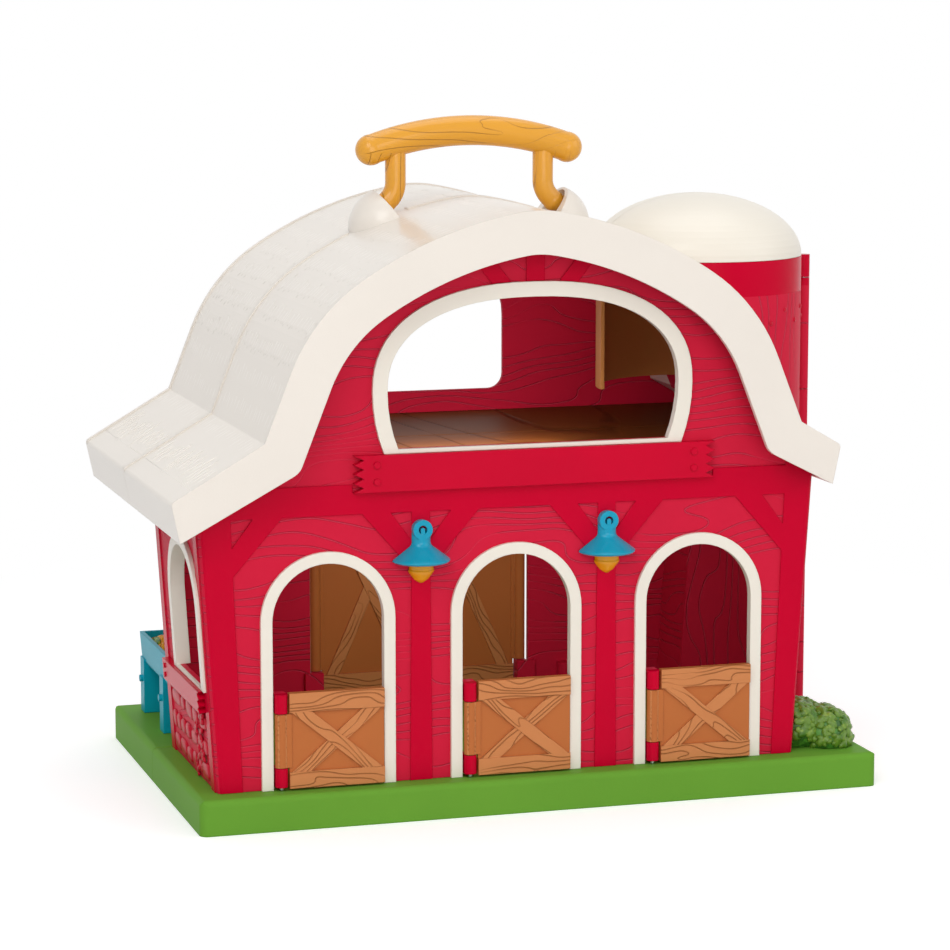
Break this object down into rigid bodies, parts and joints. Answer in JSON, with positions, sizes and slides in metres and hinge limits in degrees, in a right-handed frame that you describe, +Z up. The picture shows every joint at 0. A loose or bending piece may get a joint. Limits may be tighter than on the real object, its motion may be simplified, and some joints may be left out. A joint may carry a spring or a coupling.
{
  "type": "toy barn with opening doors",
  "caption": "Toy barn that opens in two halves on a silo hinge, with half doors, barn doors, arched loft window, silo, trough and a swinging carrying handle.",
  "frame": {"origin": "underside of the base, in the seam between the halves, at the middle of the base's length", "axes": "+X right along the front, which faces -Y; +Z up"},
  "size_m": [0.363, 0.221, 0.33],
  "materials": {
    "wall_red": "satin",
    "plank_red": "gloss",
    "roof_cream": "gloss",
    "trim_cream": "gloss",
    "base_green": "satin",
    "door_tan": "satin",
    "lamp_teal": "gloss",
    "trough_teal": "satin",
    "handle_mustard": "gloss",
    "bulb_mustard": "gloss",
    "floor_brown": "satin",
    "liner_tan": "satin",
    "bush_green": "satin",
    "feed_yellow": "satin",
    "pin_steel": "brushed"
  },
  "bodies": {
    "front_half": {"base_front": "base_green", "front_wall": "wall_red", "side_wall_left_front": "wall_red", "side_wall_right_front": "wall_red", "roof_front": "roof_cream", "door_frame_left": "trim_cream", "door_frame_middle": "trim_cream", "door_frame_right": "trim_cream", "loft_window_frame": "trim_cream", "loft_sill_plank": "plank_red", "side_window_frame": "trim_cream", "side_sill_plank": "plank_red", "lamp_shade_left": "lamp_teal", "lamp_shade_right": "lamp_teal", "lamp_bulb_left": "bulb_mustard", "lamp_bulb_right": "bulb_mustard", "loft_floor_front": "floor_brown", "silo_wall_front": "wall_red", "silo_dome_front": "trim_cream", "bush": "bush_green", "door_pins": "pin_steel", "base_screws_front": "pin_steel", "barn_hinge_pin": "pin_steel"},
    "back_half": {"base_back": "base_green", "back_wall": "wall_red", "side_wall_left_back": "wall_red", "side_wall_right_back": "wall_red", "roof_back": "roof_cream", "loft_floor_back": "floor_brown", "silo_wall_back": "wall_red", "silo_dome_back": "trim_cream", "silo_liner_back": "liner_tan", "trough": "trough_teal", "trough_feed": "feed_yellow", "back_door_pins": "pin_steel", "base_screws_back": "pin_steel"},
    "stall_door_left": {"door_left": "door_tan"},
    "stall_door_middle": {"door_middle": "door_tan"},
    "stall_door_right": {"door_right": "door_tan"},
    "barn_door_left": {"back_door_left": "door_tan"},
    "barn_door_right": {"back_door_right": "door_tan"},
    "carry_handle": {"handle": "handle_mustard"}
  },
  "joints": [
    {"name": "barn_hinge", "type": "hinge", "parent": "front_half", "child": "back_half", "pos_m": [0.1756, 0, 0.13], "axis": [0, 0, -1], "range_deg": [0, 180]},
    {"name": "stall_door_left_hinge", "type": "hinge", "parent": "front_half", "child": "stall_door_left", "pos_m": [-0.13, -0.1034, 0.0412], "axis": [0, 0, -1], "range_deg": [0, 110]},
    {"name": "stall_door_middle_hinge", "type": "hinge", "parent": "front_half", "child": "stall_door_middle", "pos_m": [-0.0367, -0.1034, 0.0412], "axis": [0, 0, -1], "range_deg": [0, 110]},
    {"name": "stall_door_right_hinge", "type": "hinge", "parent": "front_half", "child": "stall_door_right", "pos_m": [0.0566, -0.1034, 0.0412], "axis": [0, 0, -1], "range_deg": [0, 110]},
    {"name": "barn_door_left_hinge", "type": "hinge", "parent": "back_half", "child": "barn_door_left", "pos_m": [-0.06425, 0.0918, 0.076], "axis": [0, 0, 1], "range_deg": [0, 110]},
    {"name": "barn_door_right_hinge", "type": "hinge", "parent": "back_half", "child": "barn_door_right", "pos_m": [0.05015, 0.0918, 0.076], "axis": [0, 0, -1], "range_deg": [0, 110]},
    {"name": "handle_swing", "type": "hinge", "parent": "front_half", "child": "carry_handle", "pos_m": [-0.00565, 0, 0.2865], "axis": [1, 0, 0], "range_deg": [-30, 30]}
  ]
}
